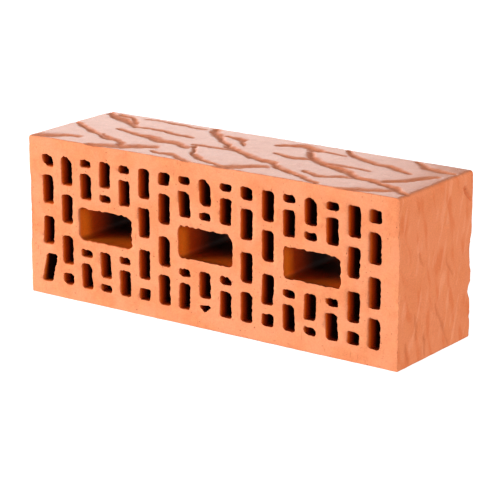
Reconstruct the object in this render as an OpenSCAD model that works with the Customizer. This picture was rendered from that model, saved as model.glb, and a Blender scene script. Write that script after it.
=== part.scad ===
// Perforated clay facing brick with a bark-textured stretcher.
// It lies on its smooth stretcher, as it leaves the kiln car: X runs along its length, Z from the
// smooth stretcher up to the textured one, and Y along its holes, from bed face to bed face.
// The origin is the middle of the face that it rests on. The brick is one fired piece.

/* [Brick] */
// Length, from header to header
brick_length = 240; // [200:1:300]
// Width, from stretcher to stretcher
brick_width = 90; // [75:1:110]
// Course height, from bed face to bed face
course_height = 71; // [50:1:120]
// Radius of the two long edges of the textured stretcher
edge_radius = 2.5; // [1:0.5:5]
// Radius of the two long edges that the soft brick rests on
base_radius = 0.8; // [0.4:0.1:5]

/* [Slots] */
// Width of every slot, along the brick
slot_width = 7.2; // [5:0.1:8]
// Corner radius of a slot
slot_radius = 1.2; // [0.4:0.1:2]
// Length of the shortest slots, above or below an opening
tiny_slot = 4.8; // [4.2:0.1:6]
// Length of the square slots, at one end of a column of long ones
short_slot = 7.4; // [5:0.1:9]

/* [Grip openings] */
// Height of a grip opening, across the brick
opening_height = 18.6; // [14:0.1:22]
// Corner radius of a grip opening
opening_radius = 3; // [1:0.5:5]

/* [Walls] */
// Clay between a header and the first column of slots
header_wall = 9.8; // [7:0.1:12]
// Clay between a stretcher and the nearest slots
stretcher_wall = 8.5; // [7:0.1:10]
// Clay between a square slot and the long slot next to it
square_web = 4.5; // [3:0.1:6]
// Clay between the first two long slots of a column
long_web = 6.8; // [4:0.1:8]
// Clay between the last two long slots of a column
end_web = 5; // [3:0.1:7]
// Clay between a shortest slot and the medium slot next to it
tiny_web = 3.4; // [2.5:0.1:4.5]
// Clay above and below a grip opening
opening_web = 4.6; // [3:0.1:5.5]
// Clay between a grip opening and the slots beside it
opening_side_web = 5.3; // [3:0.1:6.5]

/* [Hidden] */
$fn = 32;
clay_colour = "#e08a62";
// How far a cut runs past the clay at each bed face
overrun = 1;

// The columns of slots, from header to header. A has its square slot at the top, and B is A turned
// over. C and D stop above and below a grip opening, which is centred on D, and D is C turned over.
columns = ["A", "B", "C", "D", "C", "B", "A", "C", "D", "C", "A", "B", "C", "D", "C", "B", "A"];
last_column = len(columns) - 1;
pitch = (brick_length - 2 * header_wall - slot_width) / last_column;
opening_width = 4 * pitch - slot_width - 2 * opening_side_web;

// The long and the medium slots take up what the named lengths and webs leave of the width
slot_field = brick_width - 2 * stretcher_wall;
long_slot = (slot_field - short_slot - square_web - long_web - end_web) / 3;
medium_slot = (slot_field - opening_height) / 2 - opening_web - tiny_web - tiny_slot;

function reversed(list) = [for (i = [len(list) - 1:-1:0]) list[i]];
function sum(list, count) = count == 0 ? 0 : list[count - 1] + sum(list, count - 1);

// Slot lengths and the webs between them, from the textured stretcher down
lengths_a = [short_slot, long_slot, long_slot, long_slot];
webs_a = [square_web, long_web, end_web];
lengths_c = [tiny_slot, medium_slot, opening_height, tiny_slot, medium_slot];
webs_c = [tiny_web, opening_web, opening_web, tiny_web];

function lengths(kind) =
    kind == "A" ? lengths_a :
    kind == "B" ? reversed(lengths_a) :
    kind == "C" ? lengths_c : reversed(lengths_c);
function webs(kind) =
    kind == "A" ? webs_a :
    kind == "B" ? reversed(webs_a) :
    kind == "C" ? webs_c : reversed(webs_c);

function is_grip_row(kind, row) = (kind == "C" || kind == "D") && row == 2;
function column_x(column) = (column - last_column / 2) * pitch;
function hole_z(kind, row) =
    brick_width - stretcher_wall - sum(lengths(kind), row) - sum(webs(kind), row) - lengths(kind)[row] / 2;

// A rectangle with arcs at its corners, centred on the origin
module rounded_rectangle(width, height, radius) {
    square([width - 2 * radius, height], center = true);
    square([width, height - 2 * radius], center = true);
    for (x = [-1, 1], y = [-1, 1])
        translate([x * (width / 2 - radius), y * (height / 2 - radius)])
            circle(r = radius);
}

module column_of_slots(column) {
    kind = columns[column];
    for (row = [0:len(lengths(kind)) - 1])
        if (!is_grip_row(kind, row))
            translate([column_x(column), hole_z(kind, row)])
                rounded_rectangle(slot_width, lengths(kind)[row], slot_radius);
}

module grip_opening(column) {
    translate([column_x(column), hole_z("D", 2)])
        rounded_rectangle(opening_width, opening_height, opening_radius);
}

// The brick's outline: its upper corners have one radius, and its lower corners another
module outline() {
    intersection() {
        translate([0, brick_width / 2])
            rounded_rectangle(brick_length, brick_width, edge_radius);
        translate([-brick_length / 2, base_radius])
            square([brick_length, brick_width - base_radius]);
    }
    intersection() {
        translate([0, brick_width / 2])
            rounded_rectangle(brick_length, brick_width, base_radius);
        translate([-brick_length / 2, 0])
            square([brick_length, brick_width - edge_radius]);
    }
}

// The holes that the die's cores leave
module holes() {
    for (column = [0:last_column])
        column_of_slots(column);
    for (column = [0:last_column])
        if (columns[column] == "D")
            grip_opening(column);
}

// Stands an outline up and runs it along Y, centred on the origin
module along_y(length) {
    rotate([90, 0, 0])
        linear_extrude(height = length, center = true)
            children();
}

module brick() {
    color(clay_colour)
        difference() {
            along_y(course_height) outline();
            along_y(course_height + 2 * overrun) holes();
        }
}

brick();
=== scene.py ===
"""Looks of the perforated clay brick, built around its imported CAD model.

The brick is one closed mesh: a skin round the four long faces, which carries the bark relief, the two
wire-cut bed faces with their torn holes, and the walls of the holes. Sizes here are in millimetres, in
the CAD model's frame, and become metres where the mesh and the scene are made.
"""

import math
from collections import Counter, defaultdict

import bmesh
import bpy
import numpy as np
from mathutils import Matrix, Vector, geometry, kdtree


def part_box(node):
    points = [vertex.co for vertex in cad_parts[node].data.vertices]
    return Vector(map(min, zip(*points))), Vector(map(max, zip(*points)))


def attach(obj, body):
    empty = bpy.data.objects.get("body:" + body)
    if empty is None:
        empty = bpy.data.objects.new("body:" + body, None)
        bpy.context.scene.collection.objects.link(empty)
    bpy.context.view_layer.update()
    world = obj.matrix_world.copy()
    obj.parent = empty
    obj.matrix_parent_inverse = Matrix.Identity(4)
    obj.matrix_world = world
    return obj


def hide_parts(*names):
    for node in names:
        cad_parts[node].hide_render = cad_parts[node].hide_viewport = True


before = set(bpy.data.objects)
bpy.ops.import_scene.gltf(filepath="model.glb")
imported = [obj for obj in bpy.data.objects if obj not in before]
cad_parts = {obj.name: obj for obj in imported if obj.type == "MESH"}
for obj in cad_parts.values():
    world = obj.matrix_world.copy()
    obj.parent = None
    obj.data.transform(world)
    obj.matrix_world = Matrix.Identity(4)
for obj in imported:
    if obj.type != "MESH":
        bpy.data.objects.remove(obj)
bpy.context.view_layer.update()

MM = 0.001
LEFT, FRONT, BOTTOM = np.array(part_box("brick")[0]) / MM
RIGHT, BACK, TOP = np.array(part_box("brick")[1]) / MM

# ---------------------------------------------------------------- sizes

EDGE_RADIUS = 2.5  # of the long edges of the textured stretcher
BASE_RADIUS = 0.8  # of the long edges that the brick rests on
SLOT_RADIUS = 1.2
GRIP_RADIUS = 3.0
BARK_DEPTH = 0.2  # how far the bark lies under the CAD model's face, between its grooves
BED_DEPTH = 0.14  # the same of a wire-cut bed face
BASE_DEPTH = 0.05  # the same of the smooth underside
CORNER_DEPTH = 0.35  # how much deeper a long edge is worn, at most
CORNER_LIMIT = 0.7  # no relief on a long edge is deeper than this share of its radius
SMALL_HALF_HEIGHT = 4.0  # a hole that is lower to each side than this is torn more closed
GRIP_HALF_WIDTH = 10.0  # a hole that is wider to each side than this is a grip opening

BARK_STEP = 0.85  # mesh spacing on the bark of the top
HEADER_STEP = 1.0
PLAIN_STEP = 4.0  # mesh spacing on the smooth underside
CORNER_STEPS = 5
MOUTH_STEP = 0.8  # mesh spacing round a hole
FACE_STEP = 2.2  # mesh spacing inside a bed face
FACE_CLEARANCE = 0.9  # no inner point of a bed face lies nearer than this to a hole or the edge

# Rings of the skin near a bed face: distance in from the face, and share of the wear of the arris
ARRIS_RINGS = ((0.0, 1.0), (0.18, 0.45), (0.5, 0.12))
ARRIS_DEPTH = 1.0  # how far in from a bed face the even rings of the skin start
ARRIS_WEAR = 0.45  # mean depth of the wear
# Rings of a hole's wall near a bed face: distance in from the face, and share of the torn mouth
MOUTH_RINGS = ((0.0, 1.0), (0.35, 0.8), (1.1, 0.45), (3.2, 0.1), (8.0, 0.0))
MOUTH_FLARE = 0.3  # how far a mouth opens out at the bed face
# How far a mouth leans, at random, and how far its corners are filled, anticlockwise from the lower left
SLOT_LEAN = 0.25
SLOT_FILLS = (0.5, 0.1, 0.55, 0.15)
GRIP_LEAN = 0.3
GRIP_FILLS = (0.5, -0.3, 0.9, 0.2)
# How far along a mouth's edge a tear runs, and how deep it is
SLOT_TEAR = (1.2, 0.36)
GRIP_TEAR = (1.9, 0.75)
WAVE_DEPTH = 0.24  # of the longer waves along a mouth's edge
CLOSING = 0.2  # how far a mouth closes from above and from below
SMALL_CLOSING = 0.5  # the same of a small hole
# A slot that leans further than LEAN_LIMIT keeps its lean deeper inside: its rings' shares are
# raised to the power LEAN_FADING
LEAN_LIMIT = 1.0
LEAN_FADING = 0.25
# A hole's wall gets painted shade inwards, over this far and this many of its widths more
SHADE_REACH = 0.3
SHADE_WIDTHS = 0.95
# a much widened mouth gets its painted shade sooner
MOUTH_WIDENING = 1.6  # a mouth that is wider than its hole by more than this darkens sooner

CROSSING_LOSS = 0.6  # share of a groove's depth that is lost where it crosses another
GROOVE_DULLING = 0.65  # share of the plates' polish that a groove takes away
WEAR_DULLING = 2.2  # the same of the wear of an arris
# The top's grooves get less painted shade than the headers'
TOP_GROOVE_SHADE = 0.25  # how much the top's grooves are coloured, against those of the headers

# The bed faces: which ring of the skin and the holes, its y, the way in, and the seed of its waves
BED_FACES = ((0, FRONT, 1, 81), (-1, BACK, -1, 91))

# Grooves in the bark of the top: width, depth and route (x, y). A depth below zero is a ridge.
TOP_GROOVES = (
    (8.0, 0.65, ((-119, 34), (-108, 27), (-96, 20), (-82, 12))),
    (4.5, 0.45, ((-108, 32), (-97, 28), (-86, 17))),
    (5.0, 0.35, ((-82, 13), (-60, 12), (-41, 10))),
    (3.5, 0.25, ((-90, 30), (-68, 31), (-46, 30))),
    (6.0, 0.65, ((-123, 6), (-112, -1), (-95, -10), (-75, -20))),
    (5.0, 0.45, ((-86, -11), (-68, -21), (-58, -28))),
    (5.0, 0.45, ((-88, 4), (-76, -1), (-62, -3))),
    (8.0, 0.6, ((-66, -2), (-51, -6), (-37, -6), (-30, -10))),
    (4.5, 0.3, ((-33, -3), (-20, -1), (-6, -2))),
    (8.0, 0.7, ((-43, 33), (-36, 26), (-27, 16))),
    (6.0, 0.7, ((-30, 20), (-24, 12), (-12, 3), (4, -4), (20, -10), (36, -18), (52, -26), (68, -33))),
    (5.5, 0.45, ((-28, 24), (-14, 20), (-9, 11))),
    (5.0, 0.6, ((-28, -6), (-20, -18), (-9, -26), (10, -34))),
    (8.0, 0.55, ((7, 22), (19, 28), (33, 23))),
    (4.5, 0.25, ((32, 23), (50, 23))),
    (6.0, 0.5, ((44, 33), (53, 27), (64, 20), (81, 16), (96, 10))),
    (6.5, 0.45, ((17, 7), (28, 3), (41, 6))),
    (5.0, 0.3, ((45, 3), (60, 4), (77, 2))),
    (6.5, 0.7, ((28, 20), (37, 9), (51, 1), (64, -4), (78, -12), (97, -16), (106, -20), (119, -28))),
    (5.5, 0.4, ((50, -16), (61, -20), (78, -15))),
    (7.0, 0.5, ((113, 11), (105, -2), (96, -11))),
    (6.5, 0.55, ((89, 33), (98, 25), (115, 22))),
    (10.0, 0.45, ((-121, -35), (-110, -31), (-95, -23.5))),
    (11.0, 0.5, ((-79, -37), (-62, -30), (-44, -19))),
    (6.0, 0.4, ((-40, -27), (-26, -29), (-11, -34))),
    (10.0, 0.5, ((8, -37), (15, -31), (28, -21))),
    (8.0, 0.4, ((80, -38), (96, -30), (106, -24))),
)
# The same on the headers, with routes (y, z)
RIGHT_GROOVES = (
    (6.0, -0.35, ((5, 86), (8, 72), (11, 64), (14, 56))),
    (2.4, 0.35, ((10, 50), (13, 45), (17, 37))),
    (3.5, 1.6, ((26, 83), (32, 74))),
    (2.4, 0.35, ((1, 26), (4, 19), (8, 12), (14, 2))),
    (5.0, -0.25, ((-14, 68), (-18, 57))),
    (5.0, -0.25, ((-8, 56), (-12, 44))),
    (2.5, 0.3, ((-16, 57), (-12, 50))),
    (2.8, 0.25, ((-20, 25), (-19, 12))),
    (2.8, 0.25, ((-11, 14), (-9, 2))),
    (2.8, 0.2, ((-29, 14), (-26, 1))),
    (5.0, -0.25, ((-16, 22), (-15, 3))),
    (12.0, 1.4, ((38, 56), (38, 41))),
    (10.0, 2.0, ((38, 26), (38, 14))),
)
LEFT_GROOVES = (
    (14.0, 0.6, ((-38, 68), (-38, 30))),
    (3.5, 0.65, ((-30, 86), (-22, 66), (-25, 48))),
    (3.5, 0.6, ((-8, 80), (2, 58), (-1, 40), (6, 22))),
    (3.0, 0.5, ((14, 88), (20, 70), (16, 52))),
    (3.5, 0.65, ((28, 60), (22, 38), (30, 12))),
    (3.0, 0.5, ((-20, 34), (-14, 18), (-18, 6))),
    (5.0, -0.25, ((9, 74), (12, 50), (9, 34))),
)
# Holes torn more than the rest at the front: (column, row) to how far the top leans to the right,
# and how far each corner is filled, anticlockwise from the lower left
FRONT_TEARS = {
    (0, 0): (-0.3, (1.6, -0.3, 0.9, 0.2)),
    (0, 1): (-0.25, (0.3, 0.1, 0.3, 0.0)),
    (0, 2): (0.4, (0.2, 0.3, 0.4, 0.1)),
    (0, 3): (2.1, (0.2, 0.3, 0.3, 0.3)),
    (1, 0): (-0.2, (0.4, 0.2, 1.5, 0.7)),
    (1, 3): (0.2, (1.3, 0.5, 0.7, 0.2)),
    (8, 3): (0.2, (1.7, 1.7, 0.2, 0.2)),
    (8, 0): (-0.3, (0.8, 0.2, 1.5, 0.6)),
    (13, 0): (-0.2, (0.5, 0.2, 1.4, 0.8)),
}

# How far the wire dragged the front mouths to the right and up, by x
FRONT_DRAG = (
    (-107, 0.0, -1.0),
    (-53, -0.2, 0.0),
    (40, 0.4, 0.6),
    (85, -0.1, 0.8),
    (94, -0.3, 0.7),
    (107, -1.3, 0.7),
)
# How far a grip opening's left, right, bottom and top walls lean in at the front, by column
GRIP_LEANS = {3: (-0.7, -0.3, 0.0, 0.4), 8: (0.3, 0.3, 0.9, 0.2), 13: (1.4, -0.7, 0.9, 0.8)}

# ---------------------------------------------------------------- helpers


def smooth_step(t):
    t = np.clip(t, 0.0, 1.0)
    return t * t * (3 - 2 * t)


def noise(u, v, seed):
    """Smooth noise from -1 to 1, whose lumps are about one unit across."""
    size = 128
    lattice = np.random.RandomState(seed).uniform(-1, 1, (size, size))
    u, v = np.broadcast_arrays(u, v)
    cell_u, cell_v = np.floor(u).astype(int), np.floor(v).astype(int)
    part_u, part_v = smooth_step(u - cell_u), smooth_step(v - cell_v)
    this_u, next_u = cell_u % size, (cell_u + 1) % size
    this_v, next_v = cell_v % size, (cell_v + 1) % size
    low = lattice[this_u, this_v] * (1 - part_u) + lattice[next_u, this_v] * part_u
    high = lattice[this_u, next_v] * (1 - part_u) + lattice[next_u, next_v] * part_u
    return low * (1 - part_v) + high * part_v


def distance_to_route(u, v, route):
    """Distance from each point to a line through the route's points, and how far along it that is."""
    nearest = np.full(u.shape, np.inf)
    along = np.zeros(u.shape)
    total = sum(math.dist(a, b) for a, b in zip(route, route[1:]))
    walked = 0.0
    for (au, av), (bu, bv) in zip(route, route[1:]):
        length = math.dist((au, av), (bu, bv))
        t = np.clip(((u - au) * (bu - au) + (v - av) * (bv - av)) / length**2, 0, 1)
        gap = np.hypot(u - au - t * (bu - au), v - av - t * (bv - av))
        along = np.where(gap < nearest, (walked + t * length) / total, along)
        nearest = np.minimum(gap, nearest)
        walked += length
    return nearest, along


def rounded_loop(half, radii, steps, corner_steps):
    """Points round a rectangle with arcs at its corners, and their outward normals.

    They run anticlockwise from the lower left. steps are the spacings on the bottom, right, top and
    left, and radii are those of the corners that end these sides.
    """
    points, normals = [], []
    for side in range(4):
        turn = (side - 1) * math.pi / 2
        out = np.array((math.cos(turn), math.sin(turn)))
        heading = np.array((-out[1], out[0]))
        length = 2 * half[side % 2] - radii[side - 1] - radii[side]
        start = out * half[1 - side % 2] - heading * (half[side % 2] - radii[side - 1])
        count = max(1, round(length / steps[side]))
        for i in range(count):
            points.append(start + heading * length * i / count)
            normals.append(out)
        centre = start + heading * length - out * radii[side]
        for i in range(corner_steps):
            angle = turn + math.pi / 2 * i / corner_steps
            normals.append(np.array((math.cos(angle), math.sin(angle))))
            points.append(centre + radii[side] * normals[-1])
    return np.array(points), np.array(normals)


def inside(points, loop):
    """Which points lie inside a closed loop."""
    result = np.zeros(len(points), bool)
    for (ax, az), (bx, bz) in zip(loop, np.roll(loop, -1, axis=0)):
        if az != bz:
            crosses = (az > points[:, 1]) != (bz > points[:, 1])
            result ^= crosses & (points[:, 0] < (bx - ax) * (points[:, 1] - az) / (bz - az) + ax)
    return result


# ---------------------------------------------------------------- the skin round the long faces


def bark(u, v, grooves, seed):
    """How deep the bark lies under the face at each point, and how much of a groove is there."""
    warp_u = 1.6 * noise(u / 9, v / 9, seed) + 0.5 * noise(u / 3, v / 3, seed + 1)
    warp_v = 1.6 * noise(u / 9, v / 9, seed + 2) + 0.5 * noise(u / 3, v / 3, seed + 3)
    depth = BARK_DEPTH + 0.07 * noise(u / 26, v / 18, seed + 4) + 0.02 * noise(u / 5, v / 5, seed + 5)
    groove = np.zeros(u.shape)
    for width, cut, route in grooves:
        gap, along = distance_to_route(u + warp_u, v + warp_v, route)
        reach = 0.6 * width * (0.6 + 0.4 * np.sin(math.pi * np.clip(along, 0.0, 1.0)))
        reach = reach * (1 + 0.3 * noise(u / 3.5, v / 3.5, seed + 12))
        depth = depth + cut * smooth_step(1.1 * (1 - gap / reach)) * (1 - CROSSING_LOSS * groove)
        if cut > 0:
            groove = np.maximum(groove, smooth_step(1.2 * (1 - gap / reach)))
    rough = 0.16 * noise(u / 1.3, v / 1.3, seed + 6) + 0.1 * noise(u / 0.7, v / 0.7, seed + 7)
    return depth + groove * rough, groove


def skin_rows():
    """Where the skin's rings lie along Y, and how worn each is."""
    first, last = FRONT + ARRIS_DEPTH, BACK - ARRIS_DEPTH
    count = round((last - first) / BARK_STEP)
    middle = [(first + (last - first) * i / count, 0.0) for i in range(count + 1)]
    front = [(FRONT + inset, wear) for inset, wear in ARRIS_RINGS]
    back = [(BACK - inset, wear) for inset, wear in reversed(ARRIS_RINGS)]
    return np.array(front + middle + back)


def face_share(normals, direction):
    """1 where a normal points along direction, fading to 0 round the corner."""
    return smooth_step((normals @ np.array(direction) - 0.7) / 0.3)


def header_relief(u, v, seed):
    """The long light ripples of a header, which lean a little from the upright."""
    lean = u + 5 * noise(u / 22, v / 30, seed + 10)
    return 0.06 * noise(lean / 3, v / 10, seed + 8) + 0.17 * noise(lean / 7, v / 22, seed + 9)


def make_skin():
    """The skin's rings of points, with the groove, plate and wire-cut share of each."""
    centre = np.array((LEFT + RIGHT, BOTTOM + TOP)) / 2
    half = np.array((RIGHT - LEFT, TOP - BOTTOM)) / 2
    steps = (PLAIN_STEP, HEADER_STEP, BARK_STEP, HEADER_STEP)
    radii = (BASE_RADIUS, EDGE_RADIUS, EDGE_RADIUS, BASE_RADIUS)
    points, normals = rounded_loop(half, radii, steps, CORNER_STEPS)
    points += centre
    rows = skin_rows()
    y, x = np.meshgrid(rows[:, 0], points[:, 0], indexing="ij")
    z = np.broadcast_to(points[:, 1], y.shape)
    wear = rows[:, 1][:, None]

    depth, groove = np.zeros(y.shape), np.zeros(y.shape)
    for direction, u, v, grooves, seed in (
        ((0, 1), x, y, TOP_GROOVES, 11),
        ((1, 0), y, z, RIGHT_GROOVES, 31),
        ((-1, 0), y, z, LEFT_GROOVES, 51),
    ):
        share = face_share(normals, direction)
        face_depth, face_groove = bark(u, v, grooves, seed)
        if direction == (0, 1):
            plate, top_groove = share**4, face_groove
            # less painted shade in the top's grooves
            face_groove = TOP_GROOVE_SHADE * face_groove
        else:
            face_depth += header_relief(u, v, seed)
        depth += share * face_depth
        groove = np.maximum(groove, share * face_groove)
    depth += face_share(normals, (0, -1)) * BASE_DEPTH * (1 + noise(x / 17, y / 30, 71))
    chips = 0.85 + 0.6 * noise((x + z) / 3.5, y / 9, 73) + 0.5 * noise((x - z) / 1.4, y / 9, 74)
    depth += ARRIS_WEAR * wear * np.clip(chips, 0.25, 2)
    corner = 1 - np.max(np.abs(normals), axis=1) ** 8
    depth += CORNER_DEPTH * corner * (0.5 + 0.5 * noise((x + z) / 3, y / 4, 75))
    radius = np.where(normals[:, 1] < 0, BASE_RADIUS, EDGE_RADIUS)
    depth = np.where(corner > 0, np.minimum(depth, CORNER_LIMIT * radius), depth)
    rings = np.stack((x - normals[:, 0] * depth, y, z - normals[:, 1] * depth), axis=-1)
    plate = plate * (1 - GROOVE_DULLING * top_groove) * (1 - np.clip(WEAR_DULLING * wear, 0, 1))
    shares = {"groove": groove, "plate": plate, "cut": np.broadcast_to(wear, y.shape)}
    return rings, shares


# ---------------------------------------------------------------- holes


def cad_holes():
    """Centre (x, z) and half size of each hole, read from the CAD model's front face."""
    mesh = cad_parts["brick"].data
    places = [(round(v.co.x / MM, 2), round(v.co.z / MM, 2)) for v in mesh.vertices]
    on_front = [abs(v.co.y / MM - FRONT) < 0.01 for v in mesh.vertices]
    uses = Counter()
    for polygon in mesh.polygons:
        corners = list(polygon.vertices)
        if all(on_front[i] for i in corners):
            sides = zip(corners, corners[1:] + corners[:1])
            uses.update(frozenset((places[a], places[b])) for a, b in sides)
    links = defaultdict(list)
    for edge, count in uses.items():
        if count == 1:
            a, b = edge
            links[a].append(b)
            links[b].append(a)
    holes, seen = [], set()
    for start in links:
        loop, waiting = [], [start]
        while waiting:
            place = waiting.pop()
            if place not in seen:
                seen.add(place)
                loop.append(place)
                waiting.extend(links[place])
        if loop:
            low, high = np.min(loop, axis=0), np.max(loop, axis=0)
            holes.append(((low + high) / 2, (high - low) / 2))
    widest = max(range(len(holes)), key=lambda i: holes[i][1][0])
    del holes[widest]
    return sorted(holes, key=lambda hole: (round(hole[0][0]), -hole[0][1]))


def numbered(holes):
    """The same holes with their column and row, counted from the left and from the top."""
    columns = sorted({round(centre[0]) for centre, half in holes})
    rows = Counter()
    result = []
    for centre, half in holes:
        column = columns.index(round(centre[0]))
        slot = half[0] < GRIP_HALF_WIDTH
        result.append(((column, rows[column] if slot else None), centre, half))
        rows[column] += slot
    return result


def torn(points, normals, centre, half, lean, fills, seed):
    """A hole's outline as the wire and the drying left it at a bed face."""
    across = (points - centre) / half
    result = points.copy()
    result[:, 0] += lean * across[:, 1]
    grip = half[0] > GRIP_HALF_WIDTH
    fill_reach = 3.5 if grip else 2.0
    for corner, fill in zip(((-1, -1), (1, -1), (1, 1), (-1, 1)), fills):
        gap = np.hypot(*(points - centre - np.multiply(corner, half)).T)
        near = np.clip(1 - gap / (fill_reach * abs(fill) + 1.2), 0, 1)
        result -= np.outer(fill * near**1.5, corner)
    u, v = points[:, 0], points[:, 1]
    ragged = 0.5 + 0.5 * smooth_step(normals[:, 1] + normals[:, 0] + 0.3)
    length, rise = GRIP_TEAR if grip else SLOT_TEAR
    tears = rise * noise(u / length, v / length, seed)
    waves = WAVE_DEPTH * noise(u / 4, v / 4, seed + 1)
    closing = SMALL_CLOSING if half[1] < SMALL_HALF_HEIGHT else CLOSING
    edge = ragged * (tears + waves) - closing * np.abs(normals[:, 1])
    return result + normals * edge[:, None]


def mouth_shape(place, rng):
    """How a hole is torn at one bed face: its lean, and how far each corner is filled."""
    if place[1] is None:
        return GRIP_LEAN * rng.uniform(-1, 1), GRIP_FILLS
    lean = SLOT_LEAN * rng.normal()
    return lean, np.array(SLOT_FILLS) * rng.uniform(0.1, 1.5, 4)


def make_holes():
    """Each hole's rings of points, from front to back."""
    result = []
    for number, (place, centre, half) in enumerate(numbered(cad_holes())):
        grip = place[1] is None
        radius = GRIP_RADIUS if grip else SLOT_RADIUS
        points, normals = rounded_loop(half, (radius,) * 4, (MOUTH_STEP,) * 4, 5 if grip else 3)
        points += centre
        rng = np.random.RandomState(1000 + number)
        front_shape = mouth_shape(place, rng)
        back_shape = mouth_shape(place, rng)
        lean, fills = FRONT_TEARS.get(place, front_shape)
        front = torn(points, normals, centre, half, lean, fills, 2000 + number)
        fading = LEAN_FADING if abs(lean) > LEAN_LIMIT else 1.0
        drag_x, *drags = zip(*FRONT_DRAG)
        front += [np.interp(centre[0], drag_x, drag) for drag in drags]
        if grip:
            left, right, bottom, top = GRIP_LEANS[place[0]]
            tilt = np.where(normals > 0, (right, top), (left, bottom))
            front -= tilt * normals * np.abs(normals)
        back = torn(points, normals, centre, half, *back_shape, 3000 + number)
        rings = []
        for mouth, y, inward, power in ((front, FRONT, 1, fading), (back, BACK, -1, 1.0)):
            for inset, share in MOUTH_RINGS:
                flare = MOUTH_FLARE * share**3
                ring = points + (mouth - points) * share**power + normals * flare
                rings.append(np.insert(ring, 1, y + inward * inset, axis=1))
        half_way = len(MOUTH_RINGS)
        result.append(rings[:half_way] + rings[:half_way - 1:-1])
    return result


# ---------------------------------------------------------------- the brick's mesh


def bed_dip(x, z, seed):
    """How far a wire-cut face lies back from its plane."""
    return (
        BED_DEPTH
        + 0.08 * noise(x / 31, z / 23, seed)
        + 0.035 * noise(x / 5, z / 5, seed + 1)
        + 0.02 * noise(x / 1.8, z / 1.8, seed + 2)
    )


def face_points(outline, mouths, seed):
    """Scattered points inside a bed face, clear of its outline and its holes."""
    loops = np.vstack([outline, *mouths])
    tree = kdtree.KDTree(len(loops))
    for i, (x, z) in enumerate(loops):
        tree.insert((x, z, 0), i)
    tree.balance()
    rng = np.random.RandomState(seed)
    across = np.arange(LEFT + FACE_STEP, RIGHT, FACE_STEP)
    up = np.arange(BOTTOM + FACE_STEP, TOP, FACE_STEP)
    grid = np.stack(np.meshgrid(across, up), axis=-1).reshape(-1, 2)
    grid += rng.uniform(-0.3, 0.3, grid.shape) * FACE_STEP
    clear = np.array([tree.find((x, z, 0))[2] > FACE_CLEARANCE for x, z in grid])
    grid = grid[clear & inside(grid, outline)]
    for mouth in mouths:
        grid = grid[~inside(grid, mouth)]
    return grid


def fill_face(outline, mouths, inner):
    """Triangles of a bed face, as numbers into the outline, the mouths and the inner points in turn."""
    loops = [outline, *mouths]
    points = np.vstack([*loops, inner])
    edges, first = [], 0
    loop_of = np.full(len(points), -1)
    for number, loop in enumerate(loops):
        numbers = np.arange(first, first + len(loop))
        edges.extend(zip(numbers.tolist(), np.roll(numbers, -1).tolist()))
        loop_of[numbers] = number
        first += len(loop)
    made = geometry.delaunay_2d_cdt([Vector(p) for p in points], edges, [], 1, 1e-6)
    source = [originals[0] for originals in made[3]]
    triangles = np.array([[source[i] for i in face] for face in made[2]])
    owners = loop_of[triangles]
    one_loop = (owners[:, 0] > 0) & (owners == owners[:, :1]).all(axis=1)
    middles = points[triangles].mean(axis=1)
    keep = np.ones(len(triangles), bool)
    for number, mouth in enumerate(mouths, 1):
        mine = np.flatnonzero(one_loop & (owners[:, 0] == number))
        keep[mine[inside(middles[mine], mouth)]] = False
    return triangles[keep]


def tube_faces(rings, first):
    """Quads between rings of points that are numbered one after another from first."""
    count = len(rings[0])
    this = first + np.arange(count)
    following = np.roll(this, -1)
    faces = []
    for _ in rings[1:]:
        faces += np.stack((this, following, following + count, this + count), axis=1).tolist()
        this, following = this + count, following + count
    return faces


def brick_mesh():
    skin, skin_shares = make_skin()
    holes = make_holes()
    names = ("groove", "plate", "cut", "bore_shade_rate")
    shares = {name: [skin_shares.get(name, np.zeros(skin.shape[:2])).ravel()] for name in names}
    for end, y, inward, seed in BED_FACES:
        for rings in (skin, *holes):
            rings[end][:, 1] = y + inward * bed_dip(rings[end][:, 0], rings[end][:, 2], seed)

    vertices = [skin.reshape(-1, 3)]
    faces = tube_faces(skin, 0)
    starts = [0]
    for rings in holes:
        starts.append(sum(len(v) for v in vertices))
        faces += tube_faces(rings, starts[-1])
        vertices.append(np.vstack(rings))
        count = len(rings[0])
        wall = np.ones(len(rings) * count)
        mouth_width, width = np.ptp(rings[0][:, 0]), np.ptp(rings[len(MOUTH_RINGS) - 1][:, 0])
        width = min(mouth_width, 2 * width - mouth_width + MOUTH_WIDENING)
        # how fast the painted shade deepens along each hole, per millimetre in
        shares["bore_shade_rate"].append(wall / (SHADE_REACH + SHADE_WIDTHS * width))
        wall[:count] = wall[-count:] = 0
        shares["cut"].append(1 - wall)
        shares["groove"].append(0 * wall)
        shares["plate"].append(0 * wall)

    for end, y, inward, seed in BED_FACES:
        loops = [rings[end][:, (0, 2)] for rings in (skin, *holes)]
        inner = face_points(loops[0], loops[1:], seed + 5)
        triangles = fill_face(loops[0], loops[1:], inner)
        numbers = []
        for rings, start in zip((skin, *holes), starts):
            count = len(rings[0])
            numbers.append(start + (len(rings) - 1) * count * (end != 0) + np.arange(count))
        numbers.append(sum(len(v) for v in vertices) + np.arange(len(inner)))
        faces += np.concatenate(numbers)[triangles].tolist()
        depth = y + inward * bed_dip(inner[:, 0], inner[:, 1], seed)
        vertices.append(np.insert(inner, 1, depth, axis=1))
        for name in names:
            shares[name].append(np.full(len(inner), float(name == "cut")))

    mesh = bpy.data.meshes.new("clay_brick")
    mesh.from_pydata((np.vstack(vertices) * MM).tolist(), [], faces)
    for name in names:
        attribute = mesh.attributes.new(name, "FLOAT", "POINT")
        attribute.data.foreach_set("value", np.concatenate(shares[name]).astype(np.float32))
    editor = bmesh.new()
    editor.from_mesh(mesh)
    bmesh.ops.recalc_face_normals(editor, faces=editor.faces)
    editor.to_mesh(mesh)
    editor.free()
    mesh.shade_smooth()
    mesh.set_sharp_from_angle(angle=math.radians(48))
    return mesh


# ---------------------------------------------------------------- materials


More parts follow.
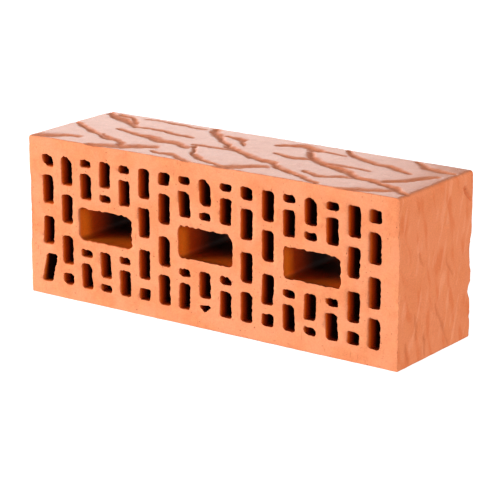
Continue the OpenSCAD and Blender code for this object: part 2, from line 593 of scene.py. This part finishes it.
class Nodes:
    """Short names for making a material's nodes. Sizes are given in millimetres."""

    def __init__(self, name):
        self.material = bpy.data.materials.new(name)
        self.material.use_nodes = True
        self.tree = self.material.node_tree
        self.tree.nodes.clear()
        self.surface = self.new("BsdfPrincipled")
        output = self.new("OutputMaterial")
        self.join(self.surface.outputs["BSDF"], output.inputs["Surface"])
        self.place = self.new("TexCoord").outputs["Object"]

    def new(self, kind, **settings):
        node = self.tree.nodes.new("ShaderNode" + kind)
        for name, value in settings.items():
            setattr(node, name, value)
        return node

    def join(self, source, socket):
        if isinstance(source, bpy.types.NodeSocket):
            self.tree.links.new(source, socket)
        else:
            socket.default_value = source

    def noise(self, size, detail=2.0, roughness=0.5, stretch=(1, 1, 1), lean=0.0):
        """Noise from about 0 to 1 whose lumps are about size across, times stretch along each axis.

        lean turns the lumps about X.
        """
        mapping = self.new("Mapping", vector_type="TEXTURE")
        mapping.inputs["Scale"].default_value = [MM * size * s for s in stretch]
        mapping.inputs["Rotation"].default_value = (lean, 0, 0)
        self.join(self.place, mapping.inputs["Vector"])
        node = self.new("TexNoise")
        self.join(mapping.outputs["Vector"], node.inputs["Vector"])
        node.inputs["Scale"].default_value = 1.0
        node.inputs["Detail"].default_value = detail
        node.inputs["Roughness"].default_value = roughness
        return node.outputs["Fac"]

    def along(self, axis):
        node = self.new("SeparateXYZ")
        self.join(self.place, node.inputs["Vector"])
        return node.outputs[axis]

    def share(self, name):
        return self.new("Attribute", attribute_name=name).outputs["Fac"]

    def math(self, operation, a, b=0.0):
        node = self.new("Math", operation=operation)
        self.join(a, node.inputs[0])
        self.join(b, node.inputs[1])
        return node.outputs["Value"]

    def times(self, a, b):
        return self.math("MULTIPLY", a, b)

    def remap(self, value, low, high, to_low=0.0, to_high=1.0):
        node = self.new("MapRange", clamp=True, interpolation_type="SMOOTHSTEP")
        for socket, source in zip(node.inputs, (value, low, high, to_low, to_high)):
            self.join(source, socket)
        return node.outputs["Result"]

    def mix(self, share, a, b, blend="MIX"):
        node = self.new("Mix", data_type="RGBA", blend_type=blend)
        self.join(share, node.inputs["Factor"])
        first, second = (socket for socket in node.inputs if socket.type == "RGBA")
        self.join(a, first)
        self.join(b, second)
        return next(socket for socket in node.outputs if socket.type == "RGBA")

    def bump(self, height, depth, normal=None):
        """Raises the surface by height (0 to 1) times depth."""
        node = self.new("Bump")
        node.inputs["Strength"].default_value = 1.0
        node.inputs["Distance"].default_value = depth * MM
        self.join(height, node.inputs["Height"])
        if normal is not None:
            self.join(normal, node.inputs["Normal"])
        return node.outputs["Normal"]


def colour(red, green, blue):
    return (red, green, blue, 1.0)


# Colours of the clay, with painted shade in its grooves and pores and a partly painted sheen on its
# plates
CLAY = colour(0.72, 0.225, 0.097)
PALE_CLAY = colour(0.78, 0.27, 0.13)
ORANGE_CLAY = colour(0.80, 0.29, 0.122)
PINK_CLAY = colour(0.80, 0.28, 0.14)
PRESSED_CLAY = colour(0.74, 0.195, 0.068)  # of the faces that the wire didn't cut
DARK_STREAK = colour(0.68, 0.16, 0.052)
PALE_STREAK = colour(0.90, 0.35, 0.19)
SCRATCH = colour(0.42, 0.11, 0.04)
# the smoothed plates' paler tone, in part a painted sheen
PLATE_TONE_AND_SHEEN = colour(0.72, 0.30, 0.18)  # of the bark between its grooves
# painted shade in the grooves of the bark
SHADED_GROOVE = colour(0.48, 0.12, 0.04)
# painted shade in the pores
SHADED_PORE = colour(0.30, 0.08, 0.03)
# Painted shade and painted bounce light on the holes' walls, in place of the light that falls off inside
# them
# painted shade, with a painted bounce-light hue, at the mouth
MOUTH_SHADE_COLOUR = colour(0.66, 0.115, 0.006)
# painted bounce light a few millimetres in
BOUNCE_LIGHT_COLOUR = colour(0.9, 0.2, 0.008)
# painted shade on the floors of the holes
HOLE_FLOOR_SHADE = colour(0.06, 0.012, 0.002)
# painted shade in the slots
SLOT_SHADE_COLOUR = colour(0.35, 0.0, 0.0)
# painted shade deep in the holes
DEEP_SHADE_COLOUR = colour(0.02, 0.006, 0.002)


def clay_colour(n, cut):
    """The clay's own colour, with streaks where it is pressed and scratches where it is cut."""
    clay = n.mix(n.remap(n.noise(28, 3), 0.35, 0.65), CLAY, PALE_CLAY)
    clay = n.mix(n.remap(n.noise(5, 4), 0.4, 0.7, 0.0, 0.5), clay, ORANGE_CLAY)
    clay = n.mix(n.remap(n.noise(14, 3), 0.4, 0.65, 0.0, 0.6), clay, PINK_CLAY)
    uncut = n.math("SUBTRACT", 1.0, cut)
    clay = n.mix(n.times(uncut, 0.5), clay, PRESSED_CLAY)
    streaks = n.remap(n.noise(6, 1, 0.4, (1, 1, 3), 0.2), 0.52, 0.68, 0.0, 0.6)
    clay = n.mix(n.times(streaks, uncut), clay, DARK_STREAK)
    streaks = n.remap(n.noise(3.6, 1, 0.4, (1, 1, 4), -0.25), 0.56, 0.72, 0.0, 0.35)
    clay = n.mix(n.times(streaks, uncut), clay, PALE_STREAK)
    scratches = n.remap(n.noise(1.1, 1, 0.5, (0.6, 1, 6)), 0.7, 0.76, 0.0, 0.5)
    return n.mix(n.times(scratches, cut), clay, SCRATCH)


def paint_wall_shade(n, skin, bore_shade_rate):
    """Paints shade into the skin inwards along the walls of the holes, with painted bounce light a
    little way in. Returns it and the walls' share.
    """
    from_middle = n.times(n.math("ABSOLUTE", n.along("Y")), 1 / MM)
    inwards = n.math("SUBTRACT", float(BACK), from_middle)
    wall = n.times(n.remap(inwards, 0.2, 1.3), n.math("GREATER_THAN", bore_shade_rate, 0.001))
    inwards = n.times(inwards, bore_shade_rate)
    # painted shade and bounce-light hue from the mouth in
    skin = n.mix(wall, skin, MOUTH_SHADE_COLOUR)
    # painted bounce light a few millimetres in
    skin = n.mix(n.times(n.remap(inwards, 0.02, 0.2), wall), skin, BOUNCE_LIGHT_COLOUR)
    facing = n.new("SeparateXYZ")
    n.join(n.new("NewGeometry").outputs["Normal"], facing.inputs["Vector"])
    # painted shade on the upward-facing floors of the holes
    floor_shading = n.remap(facing.outputs["Z"], 0.3, 0.9, 0.0, 0.5)
    skin = n.mix(n.times(floor_shading, wall), skin, HOLE_FLOOR_SHADE)
    # painted shade in the narrow slots
    slot_shading = n.remap(bore_shade_rate, 0.05, 0.12, 0.0, 0.4)
    skin = n.mix(n.times(slot_shading, wall), skin, SLOT_SHADE_COLOUR)
    # painted shade deepening to near black further in
    return n.mix(n.remap(inwards, 0.25, 0.95), skin, DEEP_SHADE_COLOUR), wall


def clay_material():
    n = Nodes("fired_clay")
    groove, plate, cut, bore_shade_rate = (n.share(name) for name in ("groove", "plate", "cut", "bore_shade_rate"))

    # paler plates: partly the smoothed clay's own tone, partly painted sheen
    skin = n.mix(n.times(plate, 0.3), clay_colour(n, cut), PLATE_TONE_AND_SHEEN)
    # painted shade in the grooves, fuller on the headers than on the top
    skin = n.mix(n.times(groove, 0.45), skin, SHADED_GROOVE)
    # painted shade and painted bounce light inside the holes
    skin, wall = paint_wall_shade(n, skin, bore_shade_rate)
    grain = n.remap(n.noise(0.7, 3, 0.6), 0.3, 0.7, 0.9, 1.06)
    shade = n.new("CombineColor")
    for socket in shade.inputs:
        n.join(grain, socket)
    skin = n.mix(1.0, skin, shade.outputs["Color"], "MULTIPLY")
    pores = n.remap(n.noise(1.6, 2, 0.6), 0.68, 0.74)
    open_pores = n.times(pores, n.math("MAXIMUM", cut, groove))
    # painted shade in the open pores
    skin = n.mix(n.times(open_pores, 0.7), skin, SHADED_PORE)
    n.join(skin, n.surface.inputs["Base Color"])

    polish = n.times(plate, n.remap(n.noise(9, 3), 0.3, 0.7, 0.9, 1.0))
    roughness = n.math("SUBTRACT", n.remap(polish, 0.0, 1.0, 0.9, 0.3), n.times(wall, 0.4))
    n.join(roughness, n.surface.inputs["Roughness"])
    n.surface.inputs["IOR"].default_value = 1.5

    drag = n.times(n.noise(1.1, 3, 0.6, (14, 1, 1)), cut)
    normal = n.bump(drag, 0.16)
    rough = n.times(n.noise(0.6, 3, 0.65), n.math("SUBTRACT", 1.0, n.times(plate, 0.9)))
    normal = n.bump(rough, 0.12, normal)
    normal = n.bump(n.times(open_pores, -1.0), 0.35, normal)
    drawn = n.times(n.noise(1.4, 2, 0.5, (1, 30, 1)), wall)
    normal = n.bump(drawn, 0.15, normal)
    n.join(normal, n.surface.inputs["Normal"])
    return n.material


def floor_material():
    n = Nodes("pale_floor")
    n.surface.inputs["Base Color"].default_value = colour(0.3, 0.3, 0.3)
    n.surface.inputs["Roughness"].default_value = 0.9
    n.surface.inputs["Emission Color"].default_value = colour(1, 1, 1)
    n.surface.inputs["Emission Strength"].default_value = 0.95
    return n.material


# ---------------------------------------------------------------- the brick, the floor, camera and light


def add_brick():
    brick = bpy.data.objects.new("clay_brick", brick_mesh())
    bpy.context.scene.collection.objects.link(brick)
    brick.data.materials.append(clay_material())
    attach(brick, "root")
    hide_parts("brick")


def add_floor():
    half = 4.0
    mesh = bpy.data.meshes.new("floor")
    corners = [(-half, -half, 0), (half, -half, 0), (half, half, 0), (-half, half, 0)]
    mesh.from_pydata(corners, [], [(0, 1, 2, 3)])
    floor = bpy.data.objects.new("floor", mesh)
    bpy.context.scene.collection.objects.link(floor)
    mesh.materials.append(floor_material())
    floor.visible_diffuse = False
    floor.visible_glossy = False


def towards(azimuth, elevation):
    """The direction from the brick to something at that azimuth and elevation, in degrees."""
    a, e = math.radians(azimuth), math.radians(elevation)
    return Vector((math.sin(a) * math.cos(e), -math.cos(a) * math.cos(e), math.sin(e)))


def look_from(item, aim, azimuth, elevation, distance):
    """Puts a camera or light at a distance from the aim, facing it."""
    direction = towards(azimuth, elevation)
    item.location = aim + direction * distance
    item.rotation_euler = direction.to_track_quat("Z", "Y").to_euler()
    bpy.context.scene.collection.objects.link(item)


def add_camera():
    data = bpy.data.cameras.new("camera")
    data.lens = 164.3
    data.sensor_width = 36
    camera = bpy.data.objects.new("camera", data)
    look_from(camera, Vector((4.0, 0.0, 36.1)) * MM, 35.5, 16.1, 1.223)
    bpy.context.scene.camera = camera


def add_softbox(name, azimuth, elevation, distance, width, height, power, mirrored=False):
    """A soft light facing the brick. Only a mirrored one shows in the gloss of the plates."""
    data = bpy.data.lights.new(name, "AREA")
    data.shape = "RECTANGLE"
    data.size, data.size_y = width, height
    data.energy = power
    light = bpy.data.objects.new(name, data)
    light.visible_glossy = mirrored
    look_from(light, Vector((0, 0, (BOTTOM + TOP) / 2)) * MM, azimuth, elevation, distance)


def add_light():
    add_softbox("key", azimuth=-50, elevation=8, distance=2.6, width=1.4, height=0.6, power=132)
    add_softbox("fill", azimuth=84, elevation=6, distance=2.4, width=1.1, height=0.6, power=46.5)
    add_softbox(
        "sheen", azimuth=231, elevation=15, distance=1.8, width=1.5, height=0.5, power=5.7, mirrored=True
    )
    add_softbox("top", azimuth=36, elevation=88, distance=1.6, width=0.8, height=0.8, power=5.5)
    world = bpy.data.worlds.new("studio")
    bpy.context.scene.world = world
    world.use_nodes = True
    world.node_tree.nodes["Background"].inputs["Color"].default_value = colour(1, 1, 1)
    world.node_tree.nodes["Background"].inputs["Strength"].default_value = 0.22
    bpy.context.scene.view_settings.view_transform = "Standard"


add_brick()
add_floor()
add_camera()
add_light()
